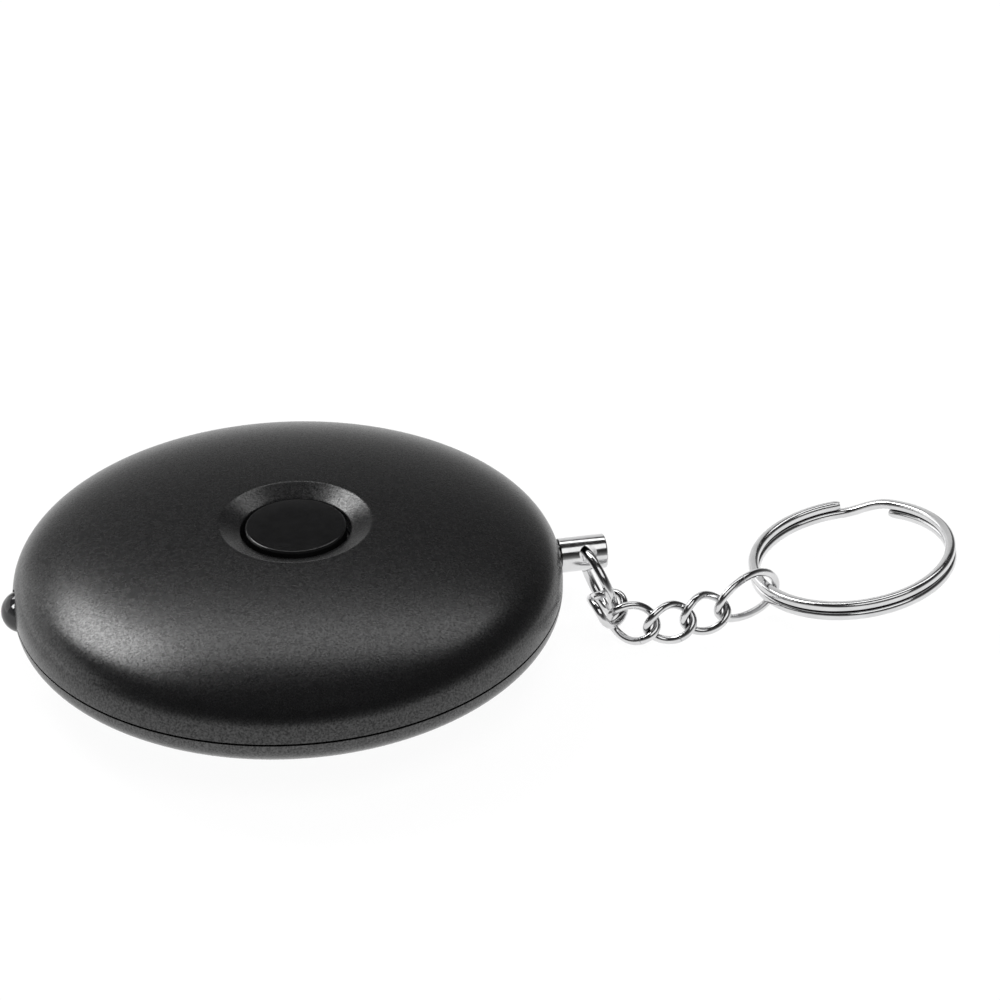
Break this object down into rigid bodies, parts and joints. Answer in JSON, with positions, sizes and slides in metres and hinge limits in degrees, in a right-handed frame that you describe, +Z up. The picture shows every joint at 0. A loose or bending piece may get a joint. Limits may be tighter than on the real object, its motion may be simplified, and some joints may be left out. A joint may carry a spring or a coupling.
{
  "type": "personal safety alarm",
  "caption": "Round pocket alarm with a push button, lamp and siren, set off by drawing its pull pin, which hangs on a short curb chain from a split key ring.",
  "frame": {"origin": "centre of the flat underside that the case stands on", "axes": "+Z up from the underside, +X along the pull pin, the way it is drawn out, and +Y to the back"},
  "size_m": [0.1123, 0.063, 0.0169],
  "materials": {
    "case_black": "fine satin grain",
    "button_black": "fine matt grain",
    "lamp_lens": "clear moulded epoxy that looks dark",
    "plated_steel": "bright nickel plating",
    "screw_steel": "zinc plated",
    "switch_plastic": "moulded",
    "board_green": "solder resist",
    "tinned_wire": "tinned",
    "siren_brass": "rolled",
    "siren_ceramic": "silvered ceramic",
    "seal_rubber": "foam rubber",
    "lead_insulation": "insulation",
    "contact_brass": "sprung strip",
    "cell_steel": "plated can",
    "spring_steel": "plated spring steel",
    "ferrite": "sintered",
    "winding_copper": "enamelled copper",
    "chip_black": "moulded",
    "can_aluminium": "drawn can"
  },
  "bodies": {
    "case": {"upper_shell": "case_black", "lower_shell": "case_black", "case_screws": "screw_steel", "switch_body": "switch_plastic", "circuit_board": "board_green", "led_lamp": "lamp_lens", "led_leads": "tinned_wire", "siren_disc": "siren_brass", "siren_ceramic": "siren_ceramic", "siren_seal": "seal_rubber", "siren_leads": "lead_insulation", "pin_socket": "switch_plastic", "pin_contact": "contact_brass", "button_cells": "cell_steel", "battery_spring": "spring_steel", "battery_plus_plate": "spring_steel", "battery_minus_plate": "spring_steel", "coil_core": "ferrite", "coil_winding": "winding_copper", "driver_chip": "chip_black", "capacitor": "can_aluminium", "chip_resistors": "chip_black"},
    "button": {"push_button": "button_black"},
    "plunger": {"switch_plunger": "switch_plastic"},
    "pin": {"pull_pin": "plated_steel"},
    "pin_link": {"pin_link": "plated_steel"},
    "link_1": {"chain_link_1": "plated_steel"},
    "link_2": {"chain_link_2": "plated_steel"},
    "link_3": {"chain_link_3": "plated_steel"},
    "link_4": {"chain_link_4": "plated_steel"},
    "ring_link": {"ring_link": "plated_steel"},
    "key_ring": {"split_ring": "plated_steel"}
  },
  "joints": [
    {"name": "button_press", "type": "slide", "parent": "case", "child": "button", "axis": [0, 0, -1], "range_m": [0, 0.0007], "stiffness_N_per_m": 2500},
    {"name": "plunger_press", "type": "slide", "parent": "case", "child": "plunger", "axis": [0, 0, -1], "range_m": [0, 0.0007]},
    {"name": "pin_pull", "type": "slide", "parent": "case", "child": "pin", "axis": [1, 0, 0], "range_m": [0, 0.018]},
    {"name": "pin_link_swing", "type": "hinge", "parent": "pin", "child": "pin_link", "pos_m": [0.035, 0, 0.00805], "axis": [0, -0.8829, 0.4695], "range_deg": [-10, 40]},
    {"name": "link_1_swing", "type": "hinge", "parent": "pin_link", "child": "link_1", "pos_m": [0.03722, -0.00578, 0.00401], "axis": [-0.2519, -0.2453, 0.9361], "range_deg": [-30, 30]},
    {"name": "link_2_swing", "type": "hinge", "parent": "link_1", "child": "link_2", "pos_m": [0.03795, -0.00719, 0.00364], "axis": [0.518, 0.7551, 0.4019], "range_deg": [-20, 30]},
    {"name": "link_3_swing", "type": "hinge", "parent": "link_2", "child": "link_3", "pos_m": [0.04144, -0.00934, 0.00266], "axis": [0.2671, 0.8639, 0.427], "range_deg": [-20, 30]},
    {"name": "link_4_swing", "type": "hinge", "parent": "link_3", "child": "link_4", "pos_m": [0.04553, -0.0089, 0.00309], "axis": [-0.1243, 0.8932, 0.4321], "range_deg": [-25, 25]},
    {"name": "ring_link_swing", "type": "hinge", "parent": "link_4", "child": "ring_link", "pos_m": [0.05021, -0.00788, 0.00354], "axis": [-0.2245, 0.8788, 0.421], "range_deg": [-30, 30]},
    {"name": "key_ring_swing", "type": "hinge", "parent": "ring_link", "child": "key_ring", "pos_m": [0.05738, -0.00441, 0.00352], "axis": [-0.2516, 0.0584, 0.9661], "range_deg": [-30, 30]}
  ],
  "couplings": [
    {"joint": "plunger_press", "follows": "button_press", "ratio": 1}
  ]
}
